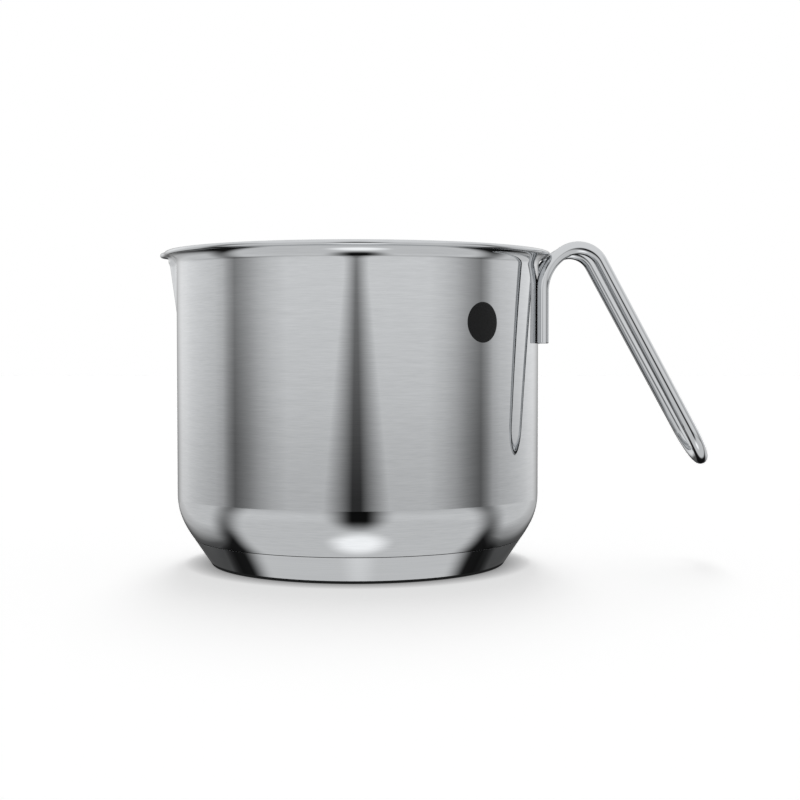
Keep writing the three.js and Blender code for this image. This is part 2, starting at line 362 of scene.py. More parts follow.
def add_tree(piece: Piece, tree: Tree, values: dict[str, object]) -> None:
    """Puts a Geometry Nodes tree on an object and sets its inputs by their identifiers.

    Args:
        piece: The object.
        tree: The tree.
        values: Each input's name and value.
    """
    modifier = piece.modifiers.new(tree.name, "NODES")
    modifier.node_group = tree
    for item in tree.interface.items_tree:
        if item.in_out == "INPUT" and item.name in values:
            modifier[item.identifier] = values[item.name]


def apply_trees(piece: Piece) -> None:
    """Turns the result of an object's modifiers into its plain mesh.

    Args:
        piece: The object, which keeps no modifiers.
    """
    graph = bpy.context.evaluated_depsgraph_get()
    result = bpy.data.meshes.new_from_object(piece.evaluated_get(graph), depsgraph=graph)
    piece.modifiers.clear()
    piece.data = result
    result.name = piece.name


def arc(centre: Point, radius: float, start: float, end: float, steps: int) -> list[Point]:
    """Points of an arc in a profile, both ends included.

    Args:
        centre: Radius and height of the arc's centre.
        radius: The arc's radius.
        start: First angle, from the outward radius.
        end: Last angle.
        steps: Number of steps.

    Returns:
        Radius and height of each point.
    """
    angles = [start + (end - start) * i / steps for i in range(steps + 1)]
    return [(centre[0] + radius * math.cos(a), centre[1] + radius * math.sin(a)) for a in angles]


def crossing(start: Point, radius: float, other: Point, other_radius: float, side: int) -> float:
    """The direction from one circle's centre to where it crosses another circle.

    Args:
        start: Centre of the first circle.
        radius: Radius of the first circle.
        other: Centre of the second circle.
        other_radius: Radius of the second circle.
        side: 1 or -1, for which of the two crossings.

    Returns:
        The angle from the outward radius.
    """
    apart = math.dist(start, other)
    opening = math.acos((apart**2 + radius**2 - other_radius**2) / (2 * apart * radius))
    return math.atan2(other[1] - start[1], other[0] - start[0]) + side * opening


# Finishes


@dataclass(frozen=True)
class Finish:
    """What every finish has: a name, two near colours and a range of roughness."""

    name: str = "finish"
    light: str = "#FFFFFF"
    dark: str = "#FFFFFF"
    roughness_low: float = 0.5
    roughness_high: float = 0.5

    def pattern(self, tree: Tree) -> Inputs:
        """Draws the finish's pattern.

        Args:
            tree: The material's tree.

        Returns:
            What the shader's inputs get.
        """
        raise NotImplementedError

    def grained(self, tree: Tree, tint: Node, grain: Node, depth: float) -> tuple[Node, Node, Node]:
        """Varies colour, roughness and relief along a pattern.

        Args:
            tree: The material's tree.
            tint: The pattern that the colour follows.
            grain: The pattern that roughness and relief follow.
            depth: Height of the relief.

        Returns:
            Colour, roughness and normal.
        """
        low, high = NOISE_SPAN
        rough = {"To Min": self.roughness_low, "To Max": self.roughness_high}
        shades = {0: tint, 6: linear(self.dark), 7: linear(self.light)}
        return (
            add_node(tree, MIX, shades, data_type="RGBA"),
            add_node(tree, MAP_RANGE, {"Value": grain, "From Min": low, "From Max": high, **rough}),
            add_node(tree, "ShaderNodeBump", {"Strength": 1.0, "Distance": depth, "Height": grain}),
        )

    def material(self) -> bpy.types.Material:
        """Makes the material with its pattern.

        Returns:
            The material.
        """
        material = bpy.data.materials.new(self.name)
        material.use_nodes = True
        tree = material.node_tree
        feed(tree, tree.nodes["Principled BSDF"], self.pattern(tree))
        return material


@dataclass(frozen=True)
class LinedSteel(Finish):
    """Stainless steel 18/10 whose grinding lines run round the pan's axis.

    The lines catch the light across themselves, so a lamp's reflection is drawn out up and
    down the wall, and faint streaks a few centimetres long stay visible.
    """

    name: str = "brushed stainless steel"
    light: str = "#CDCFD1"
    dark: str = "#C3C5C7"
    roughness_low: float = 0.018
    roughness_high: float = 0.035
    anisotropy: float = 0.6
    # The real lines are about 0.05 mm apart. They are drawn coarser, so that they show.
    line_spacing: float = 0.00034
    line_length: float = 0.005
    line_depth: float = 0.000001
    # Broader streaks: how fine they are against the lines, and their share in the colour
    streak_scale: float = 0.3
    streak_share: float = 0.4
    # The seam between shell and base cap: its upper edge on the cone, and the cone's slant
    seam_radius: float = 0.064588
    seam_height: float = 0.010584
    cone_angle: float = math.radians(33.8)
    # Where the painted seam shade fades in and out, behind the cone's face and then along the cone
    seam_shade_depths: Stops = ((0.000006, 0.000015), (0.00105, 0.00095))
    seam_shade_ends: Stops = ((0.00006, 0.00002), (-0.0021, -0.002))
    seam_shade_colour: str = "#1C1B1A"
    seam_shade_roughness: float = 0.9

    def in_seam(self, tree: Tree, radius: Node, height: Socket) -> Node:
        """The faces inside the seam groove, painted dull and dark as the shade in the groove.

        Args:
            tree: The material's tree.
            radius: Distance from the pan's axis.
            height: Height over the table.

        Returns:
            1 inside the seam and 0 elsewhere.
        """
        place = add_node(tree, JOIN, {"X": radius, "Y": height})
        edge = Vector((self.seam_radius, self.seam_height, 0.0))
        from_edge = add_node(tree, VECTOR_MATH, {0: place, 1: edge}, operation="SUBTRACT")
        slant = Vector((math.sin(self.cone_angle), math.cos(self.cone_angle), 0.0))
        inwards = Vector((-slant.y, slant.x, 0.0))
        inside = 1.0
        for way, limits in ((inwards, self.seam_shade_depths), (slant, self.seam_shade_ends)):
            measure = add_node(tree, VECTOR_MATH, {0: from_edge, 1: way}, operation="DOT_PRODUCT")
            for start, end in limits:
                fade = {"Value": measure, "From Min": start, "From Max": end, "To Max": inside}
                inside = add_node(tree, MAP_RANGE, fade)
        return inside

    def pattern(self, tree: Tree) -> Inputs:
        """Draws lines round the axis from Object coordinates, and painted shade in the seam groove.

        Args:
            tree: The material's tree.

        Returns:
            What the shader's inputs get.
        """
        place = add_node(tree, "ShaderNodeTexCoord").outputs["Object"]
        axes = add_node(tree, SPLIT, {0: place}).outputs
        radius = distance_from_axis(tree, place)[1]
        # Radius plus height grows along the profile on the floor, the cone and the wall alike
        profile = add_node(tree, MATH, {0: radius, 1: axes["Z"]}, operation="ADD")
        stacked = add_node(tree, JOIN, {"X": axes["X"], "Y": axes["Y"], "Z": profile})
        size = Vector((1 / self.line_length, 1 / self.line_length, 1 / self.line_spacing))
        fine = add_node(tree, VECTOR_MATH, {0: stacked, 1: size}, operation="MULTIPLY")
        broad = add_node(tree, VECTOR_MATH, {0: fine, "Scale": self.streak_scale}, operation="SCALE")
        lines = add_node(tree, NOISE, {"Vector": fine, "Scale": 1.0, "Detail": 2.0})
        streaks = add_node(tree, NOISE, {"Vector": broad, "Scale": 1.0, "Detail": 1.0})
        both = add_node(tree, MIX, {0: self.streak_share, 2: lines, 3: streaks})
        low, high = NOISE_SPAN
        spread = add_node(tree, MAP_RANGE, {"Value": both, "From Min": low, "From Max": high})
        colour, rough, bump = self.grained(tree, spread, lines, self.line_depth)
        # Painted shade: the faces inside the seam groove turn dark, dull and non-metal
        seam_shade_mask = self.in_seam(tree, radius, axes["Z"])
        painted_shade_colour = {0: seam_shade_mask, 6: colour, 7: linear(self.seam_shade_colour)}
        upright = Vector((0.0, 0.0, 1.0))
        lengthwise = add_node(tree, VECTOR_MATH, {0: upright, 1: place}, operation="CROSS_PRODUCT")
        return {
            "Base Color": add_node(tree, MIX, painted_shade_colour, data_type="RGBA"),
            "Metallic": add_node(tree, MATH, {0: 1.0, 1: seam_shade_mask}, operation="SUBTRACT"),
            "Roughness": add_node(tree, MIX, {0: seam_shade_mask, 2: rough, 3: self.seam_shade_roughness}),
            # Counts in the seam alone, whose painted shade has no gloss
            "Specular IOR Level": 0.0,
            "Anisotropic": self.anisotropy,
            # A quarter turn: the reflection spreads across the lines
            "Anisotropic Rotation": 0.25,
            "Normal": bump,
            "Tangent": add_node(tree, VECTOR_MATH, {0: lengthwise}, operation="NORMALIZE"),
        }


@dataclass(frozen=True)
class PolishedRod(Finish):
    """Stainless steel rod, drawn and then polished bright.

    It mirrors the room in narrow stripes along the rod. Faint drawing lines run lengthwise.
    """

    name: str = "polished stainless steel rod"
    light: str = "#D0D2D4"
    dark: str = "#C6C8CA"
    roughness_low: float = 0.01
    roughness_high: float = 0.022
    # Drawing lines are some hundredths of a millimetre wide. They are drawn a little coarser.
    line_width: float = 0.00025
    line_length: float = 0.02
    line_depth: float = 0.0000006
    # Within this distance of the pan's axis the rod is painted dark and dull: painted shade in the crease
    # where it meets the wall
    crease_shade_radius: float = 0.07105
    crease_shade_fade: float = 0.0003
    crease_shade_colour: str = "#565250"
    crease_shade_roughness: float = 0.5

    def pattern(self, tree: Tree) -> Inputs:
        """Draws lengthwise lines from the rod's own attributes, and painted shade in the crease at the weld.

        Args:
            tree: The material's tree.

        Returns:
            What the shader's inputs get.
        """
        section = add_node(tree, "ShaderNodeAttribute", attribute_name="rod_section").outputs["Vector"]
        along = add_node(tree, "ShaderNodeAttribute", attribute_name="rod_along").outputs["Fac"]
        across = add_node(tree, SPLIT, {0: section}).outputs
        place = add_node(tree, JOIN, {"X": across["X"], "Y": across["Y"], "Z": along})
        size = Vector((1 / self.line_width, 1 / self.line_width, 1 / self.line_length))
        scaled = add_node(tree, VECTOR_MATH, {0: place, 1: size}, operation="MULTIPLY")
        lines = add_node(tree, NOISE, {"Vector": scaled, "Scale": 1.0, "Detail": 2.0})
        colour, rough, bump = self.grained(tree, lines, lines, self.line_depth)
        # Painted shade: near the wall the rod turns dark and dull, standing in for the shade in the crease at
        # the weld
        where = add_node(tree, "ShaderNodeTexCoord").outputs["Object"]
        start, end = self.crease_shade_radius, self.crease_shade_radius + self.crease_shade_fade
        fade = {"From Min": start, "From Max": end, "To Min": 1.0, "To Max": 0.0}
        weld = add_node(tree, MAP_RANGE, {"Value": distance_from_axis(tree, where)[1], **fade}, **SMOOTH)
        painted_shade_colour = {0: weld, 6: colour, 7: linear(self.crease_shade_colour)}
        return {
            "Base Color": add_node(tree, MIX, painted_shade_colour, data_type="RGBA"),
            "Metallic": 1.0,
            "Roughness": add_node(tree, MIX, {0: weld, 2: rough, 3: self.crease_shade_roughness}),
            "Normal": bump,
        }


@dataclass(frozen=True)
class RolledAluminium(Finish):
    """Pure aluminium as it leaves the rolling mill: pale, dull, with straight roll lines."""

    name: str = "rolled aluminium"
    light: str = "#D3D5D8"
    dark: str = "#BEC0C4"
    roughness_low: float = 0.38
    roughness_high: float = 0.52
    line_spacing: float = 0.0006
    line_length: float = 0.03
    line_depth: float = 0.000004

    def pattern(self, tree: Tree) -> Inputs:
        """Draws roll lines along X.

        Args:
            tree: The material's tree.

        Returns:
            What the shader's inputs get.
        """
        place = add_node(tree, "ShaderNodeTexCoord").outputs["Object"]
        size = Vector((1 / self.line_length, 1 / self.line_spacing, 1 / self.line_spacing))
        scaled = add_node(tree, VECTOR_MATH, {0: place, 1: size}, operation="MULTIPLY")
        lines = add_node(tree, NOISE, {"Vector": scaled, "Scale": 1.0, "Detail": 3.0})
        colour, rough, bump = self.grained(tree, lines, lines, self.line_depth)
        return {"Base Color": colour, "Metallic": 1.0, "Roughness": rough, "Normal": bump}


@dataclass(frozen=True)
class StoveInk(Finish):
    """Dark printing ink, stoved on: almost black, half matt, with a fine orange peel."""

    name: str = "stoved printing ink"
    light: str = "#1B1C1D"
    dark: str = "#131415"
    roughness_low: float = 0.4
    roughness_high: float = 0.5
    specular: float = 0.2
    grain: float = 0.0005
    grain_depth: float = 0.000003

    def pattern(self, tree: Tree) -> Inputs:
        """Draws a fine even grain.

        Args:
            tree: The material's tree.

        Returns:
            What the shader's inputs get.
        """
        place = add_node(tree, "ShaderNodeTexCoord").outputs["Object"]
        grain = add_node(tree, NOISE, {"Vector": place, "Scale": 1 / self.grain, "Detail": 2.0})
        colour, rough, bump = self.grained(tree, grain, grain, self.grain_depth)
        return {"Base Color": colour, "Roughness": rough, "Specular IOR Level": self.specular, "Normal": bump}


# The pan


@dataclass(frozen=True)
class CapsuleBase:
    """The encapsulated base: an aluminium disc closed in by a dished steel cap.

    The cap's side is part of the cone that the foot of the body continues.
    """

    wall_radius: float = 0.0708
    corner_radius: float = 0.0253
    cone_angle: float = math.radians(33.8)
    cone_above_seam: float = 0.0033
    knuckle_radius: float = 0.008
    cap_sheet: float = 0.0005
    cap_edge_radius: float = 0.001
    core_thickness: float = 0.0052
    lap_length: float = 0.0013
    seat_gap: float = 0.0003
    # The visible seam, a narrow line, where the CAD model has a wider gap that stands in for it
    seam_width: float = 0.00022
    seam_drop: float = 0.0001
    edge_break: float = 0.00005
    # Rows this close to a bend keep a straight face straight in its shading
    hold: float = 0.0002
    edge_steps: int = 8
    columns: int = 256
    finish: Finish = field(
        default_factory=lambda: LinedSteel(
            name="turned stainless steel",
            light="#CED0D2",
            dark="#C7C9CB",
            roughness_low=0.03,
            roughness_high=0.05,
            anisotropy=0.5,
            line_spacing=0.0004,
            line_length=0.02,
            line_depth=0.0000008,
        )
    )

    @property
    def floor_bottom(self) -> float:
        """Height of the body's floor, over the cap and the disc."""
        return self.cap_sheet + self.core_thickness + 2 * self.seat_gap

    @property
    def lap_depth(self) -> float:
        """How far behind the cone's face the body runs inside the cap."""
        return self.cap_sheet + self.seat_gap

    @property
    def knuckle_height(self) -> float:
        """Height of the centre of the bend between floor and cone."""
        return self.floor_bottom + self.knuckle_radius

    @property
    def cap_edge(self) -> float:
        """Distance along the cone of the cap's upper edge in the CAD model.

        Returns:
            The distance from the cone's foot.
        """
        end_height = self.knuckle_height - self.knuckle_radius * math.sin(self.cone_angle)
        lap_start = (end_height - self.lap_depth * math.sin(self.cone_angle)) / math.cos(self.cone_angle)
        return lap_start + self.lap_length

    @property
    def ledge(self) -> float:
        """Distance along the cone of the body's ledge above the seam in the CAD model."""
        return self.cap_edge + self.seat_gap

    @property
    def seam_foot(self) -> float:
        """Distance along the cone of the visible seam's lower edge."""
        return self.cap_edge - self.seam_drop

    @property
    def seam_top(self) -> float:
        """Distance along the cone of the visible seam's upper edge."""
        return self.seam_foot + self.seam_width

    @property
    def cone_end(self) -> float:
        """Distance along the cone of its upper end."""
        return self.ledge + self.cone_above_seam

    @property
    def foot_radius(self) -> float:
        """Radius at which the cone meets the table."""
        top = self.wall_radius - self.corner_radius * (1 - math.cos(self.cone_angle))
        return top - self.cone_end * math.sin(self.cone_angle)

    @property
    def corner_height(self) -> float:
        """Height at which the wall's straight part starts."""
        rise = self.cone_end * math.cos(self.cone_angle)
        return rise + self.corner_radius * math.sin(self.cone_angle)

    @property
    def knuckle_centre(self) -> Point:
        """Radius and height of the centre of the bend between floor and cone."""
        inward = self.knuckle_height * math.sin(self.cone_angle) - self.lap_depth - self.knuckle_radius
        return (self.foot_radius + inward / math.cos(self.cone_angle), self.knuckle_height)

    def beside_cone(self, along: float, depth: float) -> Point:
        """A point beside the cone.

        Args:
            along: Distance along the cone from the foot.
            depth: Depth behind its outer face.

        Returns:
            Radius and height.
        """
        sine, cosine = math.sin(self.cone_angle), math.cos(self.cone_angle)
        return (self.foot_radius + along * sine - depth * cosine, along * cosine + depth * sine)

    def foot_arc(self, depth: float, bottom: float, radius: float) -> list[Point]:
        """A rounded corner between a level face and the cone.

        Args:
            depth: Depth of the cone's face behind the outer one.
            bottom: Height of the level face.
            radius: Radius of the corner.

        Returns:
            Points from the level face to the cone.
        """
        turn = math.pi / 2 - self.cone_angle
        slope = (bottom * math.sin(self.cone_angle) - depth) / math.cos(self.cone_angle)
        centre = (self.foot_radius + slope - radius * math.tan(turn / 2), bottom + radius)
        return arc(centre, radius, -math.pi / 2, -self.cone_angle, self.edge_steps)

    def cap_profile(self) -> list[Point]:
        """The cap's section, from the underside's centre round its edge to the inside's centre.

        Returns:
            Radius and height of its points.
        """
        top = self.seam_foot
        inside = self.foot_arc(self.cap_sheet, self.cap_sheet, self.cap_edge_radius - self.cap_sheet)
        corner = self.foot_arc(0.0, 0.0, self.cap_edge_radius)
        bend_end = corner[-1][1] / math.cos(self.cone_angle)
        return [
            (0.0, 0.0),
            (corner[0][0] - self.hold, 0.0),
            *corner,
            self.beside_cone(bend_end + self.hold, 0.0),
            self.beside_cone(top - self.edge_break, 0.0),
            self.beside_cone(top, self.edge_break),
            self.beside_cone(top, self.cap_sheet),
            *reversed(inside),
            (0.0, self.cap_sheet),
        ]

    def build(self, tree: Tree) -> list[Piece]:
        """Builds the cap and dresses the disc.

        Args:
            tree: The tree that revolves a profile.

        Returns:
            The cap, and the disc's CAD node.
        """
        cap = turned_piece("base_cap_smooth", self.cap_profile(), tree, self.finish, self.columns, 0.0)
        apply_trees(cap)
        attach(cap, Body.ROOT.value)
        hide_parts("base_cap")
        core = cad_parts["base_core"]
        core.material_slots[0].material = RolledAluminium().material()
        return [cap, core]


def turned_piece(
    name: str, profile: list[Point], tree: Tree, finish: Finish, columns: int, crowding: float
) -> Piece:
    """Starts a piece that is turned from its profile.

    Args:
        name: The piece's name.
        profile: Radius and height of the profile's points.
        tree: The tree that revolves a profile.
        finish: The piece's finish.
        columns: Number of columns round the axis.
        crowding: How much closer they stand at the spout.

    Returns:
        The piece, with the tree as its modifier.
    """
    piece = line_object(name, [Vector((radius, 0.0, height)) for radius, height in profile])
    values = {
        "Columns": columns,
        "Crowding": crowding,
        "Weld Distance": WELD_DISTANCE,
        "Sharp Angle": SHARP_ANGLE,
        "Material": finish.material(),
    }
    add_tree(piece, tree, values)
    return piece


@dataclass(frozen=True)
class Spout:
    """The pouring spout that is pressed into wall, flare and bead."""

    drop: float = 0.0292
    depth: float = 0.0037
    lip_reach: float = 0.0024
    lip_turn: float = 0.002
    rim_width: float = 0.026
    foot_width: float = 0.005


@dataclass(frozen=True)
class PanBody:
    """The drawn body: floor, corner, straight wall, flared rim with its bead, and the spout."""

    height: float = 0.1215
    sheet: float = 0.0008
    flare_radius: float = 0.0049
    rim_overhang: float = 0.0047
    bead_radius: float = 0.00095
    # The corner's outside: how far the tighter bend turns, and the slope at the seam
    tight_turn: float = math.radians(26)
    seam_slope: float = math.radians(36)
    columns: int = 320
    crowding_share: float = 0.5
    wall_rows: int = 32
    knuckle_steps: int = 10
    bend_steps: tuple[int, int] = (12, 20)
    flare_steps: tuple[int, int] = (16, 14)
    bead_steps: int = 24
    inner_corner_steps: int = 16
    base: CapsuleBase = field(default_factory=CapsuleBase)
    spout: Spout = field(default_factory=Spout)
    finish: Finish = field(default_factory=LinedSteel)

    @property
    def flare_centre(self) -> Point:
        """Centre of the flare's arcs."""
        start = self.height - self.sheet - self.flare_radius
        return (self.base.wall_radius + self.flare_radius, start)

    @property
    def bead_centre(self) -> Point:
        """Centre of the rolled edge."""
        rim = self.base.wall_radius + self.rim_overhang
        return (rim - self.bead_radius, self.height - self.bead_radius)

    def wall_heights(self) -> list[float]:
        """Heights of the rows on the straight wall: its lower end, and rows along the spout.

        Returns:
            The heights, upwards.
        """
        foot = self.height - self.spout.drop
        top = self.flare_centre[1]
        rows = [foot + (top - foot) * i / self.wall_rows for i in range(self.wall_rows)]
        corner = self.base.corner_height
        return [corner, corner + self.base.hold, (corner + foot) / 2, *rows]

    def corner_bends(self, start: Point) -> list[Point]:
        """The corner above the seam: a wide bend and a tighter one, from the seam to the wall.

        Args:
            start: Radius and height of the body's edge at the seam.

        Returns:
            The points from the seam up to the wall.
        """
        base, turn, foot = self.base, self.tight_turn, self.seam_slope
        across = base.wall_radius - start[0]
        up = base.corner_height - start[1]
        # The two radii make the bends reach both across and up
        fall = 1 - math.cos(turn)
        wide_fall = math.cos(turn) - math.cos(foot)
        wide_rise = math.sin(foot) - math.sin(turn)
        share = fall * wide_rise - wide_fall * math.sin(turn)
        tight = (across * wide_rise - wide_fall * up) / share
        wide = (fall * up - across * math.sin(turn)) / share
        centre = (base.wall_radius - tight, base.corner_height)
        off = tight - wide
        wide_centre = (centre[0] + off * math.cos(turn), centre[1] - off * math.sin(turn))
        wide_steps, tight_steps = self.bend_steps
        bend = arc(wide_centre, wide, -foot, -turn, wide_steps)
        return [*bend, *arc(centre, tight, -turn, 0.0, tight_steps)[1:]]

    def outside(self) -> list[Point]:
        """The outside from the floor's centre up the wall and the flare to the bead.

        Returns:
            Radius and height of its points.
        """
        base = self.base
        start = base.beside_cone(base.seam_top + base.edge_break, 0.0)
        end = crossing(self.flare_centre, self.flare_radius, self.bead_centre, self.bead_radius, 1)
        down, slant = -math.pi / 2, -base.cone_angle
        return [
            (0.0, base.floor_bottom),
            *arc(base.knuckle_centre, base.knuckle_radius, down, slant, self.knuckle_steps),
            base.beside_cone(base.seam_top, base.lap_depth),
            base.beside_cone(base.seam_top, base.edge_break),
            *self.corner_bends(start),
            *[(base.wall_radius, z) for z in self.wall_heights()[1:]],
            *arc(self.flare_centre, self.flare_radius, math.pi, end, self.flare_steps[0]),
        ]

    def bead(self) -> list[Point]:
        """The rolled edge, from under the flare round to its top.

        Returns:
            Radius and height of its points.
        """
        centre, radius = self.bead_centre, self.bead_radius
        under = crossing(centre, radius, self.flare_centre, self.flare_radius, -1)
        top = crossing(centre, radius, self.flare_centre, self.flare_radius + self.sheet, -1)
        return arc(centre, radius, under, top + 2 * math.pi, self.bead_steps)[1:]

    def inside(self) -> list[Point]:
        """The inside from the rim down to the floor's centre, one sheet behind the outside.

        Returns:
            Radius and height of its points.
        """
        base, sheet = self.base, self.sheet
        outer = self.flare_radius + sheet
        start = crossing(self.flare_centre, outer, self.bead_centre, self.bead_radius, 1)
        corner = (base.wall_radius - base.corner_radius, base.corner_height)
        bend, knuckle = base.corner_radius - sheet, base.knuckle_radius - sheet
        down, slant = -math.pi / 2, -base.cone_angle
        return [
            *arc(self.flare_centre, outer, start, math.pi, self.flare_steps[1])[1:],
            *[(base.wall_radius - sheet, z) for z in reversed(self.wall_heights())],
            *arc(corner, bend, 0.0, slant, self.inner_corner_steps)[1:],
            base.beside_cone(base.ledge + sheet, sheet),
            base.beside_cone(base.ledge - base.seat_gap, base.lap_depth + sheet),
            *arc(base.knuckle_centre, knuckle, slant, down, self.knuckle_steps),
            (0.0, base.floor_bottom + sheet),
        ]

    def build(self, tree: Tree, press: Tree) -> Piece:
        """Builds the body.

        Args:
            tree: The tree that revolves a profile.
            press: The tree that presses the spout.

        Returns:
            The body.
        """
        profile = [*self.outside(), *self.bead(), *self.inside()]
        body = turned_piece("pan_body_smooth", profile, tree, self.finish, self.columns, self.crowding_share)
        keel_top = self.height - 2 * self.bead_radius
        sizes = {
            "Wall Radius": self.base.wall_radius,
            "Foot Height": self.height - self.spout.drop,
            "Rim Height": self.height,
            "Keel Top": keel_top,
            "Lip Start": keel_top - self.spout.lip_turn,
            "Depth": self.spout.depth,
            "Lip Reach": self.spout.lip_reach,
            "Foot Half Width": self.spout.foot_width / 2,
            "Rim Half Width": self.spout.rim_width / 2,
        }
        add_tree(body, press, sizes)
        apply_trees(body)
        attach(body, Body.ROOT.value)
        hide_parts("pan_body")
        return body


@dataclass(frozen=True)
class RodHandle:
    """The handle: one round rod, a hairpin with slightly converging runs.

    It is bent over a side profile of leg, shoulder, crown and arm, and welded to the wall.
    """

    wall_radius: float = 0.0708
    pan_height: float = 0.1215
    rim_overhang: float = 0.0047
    bead_radius: float = 0.00095
    rod_diameter: float = 0.005
    leg_drop: float = 0.0354
    weld_bite: float = 0.00035
    foot_spacing: float = 0.0314
    tip_spacing: float = 0.0252
    shoulder_radius: float = 0.0174
    shoulder_angle: float = math.radians(61.2)
    crown_radius: float = 0.01
    arm_length: float = 0.0748
    arm_slope: float = math.radians(28.5)
    rim_gap: float = 0.0004
    end_break: float = 0.0003
    sides: int = 36
    step: float = 0.0008
    finish: Finish = field(default_factory=PolishedRod)

    @property
    def leg_x(self) -> float:
        """How far from the axis the legs stand, along X."""
        reach = self.wall_radius + self.rod_diameter / 2 - self.weld_bite
        return math.sqrt(reach**2 - (self.foot_spacing / 2) ** 2)

    @property
    def shoulder_start(self) -> float:
        """Height at which the shoulder starts, so that the rod passes outside the bead.

        Returns:
            The height over the table.
        """
        bead_circle = self.wall_radius + self.rim_overhang - self.bead_radius
        bead_x = math.sqrt(bead_circle**2 - (self.foot_spacing / 2) ** 2)
        reach = self.shoulder_radius + self.rod_diameter / 2 + self.bead_radius + self.rim_gap
        aside = self.leg_x + self.shoulder_radius - bead_x
        return self.pan_height - self.bead_radius - math.sqrt(reach**2 - aside**2)

    @property
    def leg_length(self) -> float:
        """Length of the straight leg on the wall."""
        return self.shoulder_start - (self.pan_height - self.leg_drop)

    @property
    def crown_length(self) -> float:
        """Length of the crown's arc."""
        return self.crown_radius * (math.pi - self.arm_slope - self.shoulder_angle)

    @property
    def run_length(self) -> float:
        """Length of the side profile from the leg's foot to where the round end starts."""
        bends = self.shoulder_radius * self.shoulder_angle + self.crown_length
        return self.leg_length + bends + self.arm_length

    @property
    def taper(self) -> float:
        """Angle by which each run leans towards the middle."""
        return math.atan((self.foot_spacing - self.tip_spacing) / 2 / self.run_length)

    @property
    def rod_length(self) -> float:
        """Length of the whole rod."""
        end = self.tip_spacing / 2 / math.cos(self.taper) * (math.pi - 2 * self.taper)
        return 2 * self.run_length / math.cos(self.taper) + end

    def flat_place(self, distance: float) -> Point:
        """The flat hairpin at a distance along the rod.

        Args:
            distance: Distance from the rod's start.

        Returns:
            How far down the side profile, and how far aside.
        """
        side = 1 if distance > self.rod_length / 2 else -1
        walked = min(distance, self.rod_length - distance)
        run = self.run_length / math.cos(self.taper)
        if walked <= run:
            inward = self.foot_spacing / 2 - walked * math.sin(self.taper)
            return (walked * math.cos(self.taper), side * inward)
        radius = self.tip_spacing / 2 / math.cos(self.taper)
        angle = self.taper + (walked - run) / radius
        centre = self.run_length - radius * math.sin(self.taper)
        return (centre + radius * math.sin(angle), side * radius * math.cos(angle))

    def profile_place(self, down: float) -> Point:
        """The side profile at a distance from the leg's foot.

        Args:
            down: The distance.

        Returns:
            X and Z.
        """
        if down <= self.leg_length:
            return (self.leg_x, self.pan_height - self.leg_drop + down)
        bend = self.shoulder_radius * self.shoulder_angle
        turn = min(down - self.leg_length, bend) / self.shoulder_radius
        x = self.leg_x + self.shoulder_radius * (1 - math.cos(turn))
        z = self.shoulder_start + self.shoulder_radius * math.sin(turn)
        past = down - self.leg_length - bend
        if past <= 0:
            return (x, z)
        centre_x = x + self.crown_radius * math.cos(self.shoulder_angle)
        centre_z = z - self.crown_radius * math.sin(self.shoulder_angle)
        turned = self.shoulder_angle + min(past, self.crown_length) / self.crown_radius
        on_arm = max(0.0, past - self.crown_length)
        x = centre_x - self.crown_radius * math.cos(turned) + on_arm * math.sin(self.arm_slope)
        z = centre_z + self.crown_radius * math.sin(turned) - on_arm * math.cos(self.arm_slope)
        return (x, z)

    def centre_line(self) -> list[Vector]:
        """Points of the rod's centre line, close together at its ends for the broken edges.

        Returns:
            The points, from the rod's start to its end.
        """
        near = [0.0, self.end_break / 3, self.end_break * 2 / 3, self.end_break]
        span = self.rod_length - 2 * self.end_break
        count = round(span / self.step)
        middle = [self.end_break + span * i / count for i in range(1, count)]
        far = [self.rod_length - distance for distance in reversed(near)]
        points = []
        for distance in (*near, *middle, *far):
            down, aside = self.flat_place(distance)
            x, z = self.profile_place(down)
            points.append(Vector((x, aside, z)))
        return points

    def build(self, tree: Tree) -> Piece:
        """Builds the handle.

        Args:
            tree: The tree that sweeps a rod.

        Returns:
            The handle.
        """
        handle = line_object("handle_smooth", self.centre_line())
        radius = self.rod_diameter / 2
        values = {
            "Rod Radius": radius,
            "Sides": self.sides,
            "Rod Length": self.rod_length,
            "End Break": self.end_break,
            "End Share": 1 - self.end_break / radius,
            "Sharp Angle": SHARP_ANGLE,
            "Material": self.finish.material(),
        }
        add_tree(handle, tree, values)
        apply_trees(handle)
        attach(handle, Body.ROOT.value)
        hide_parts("handle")
        return handle


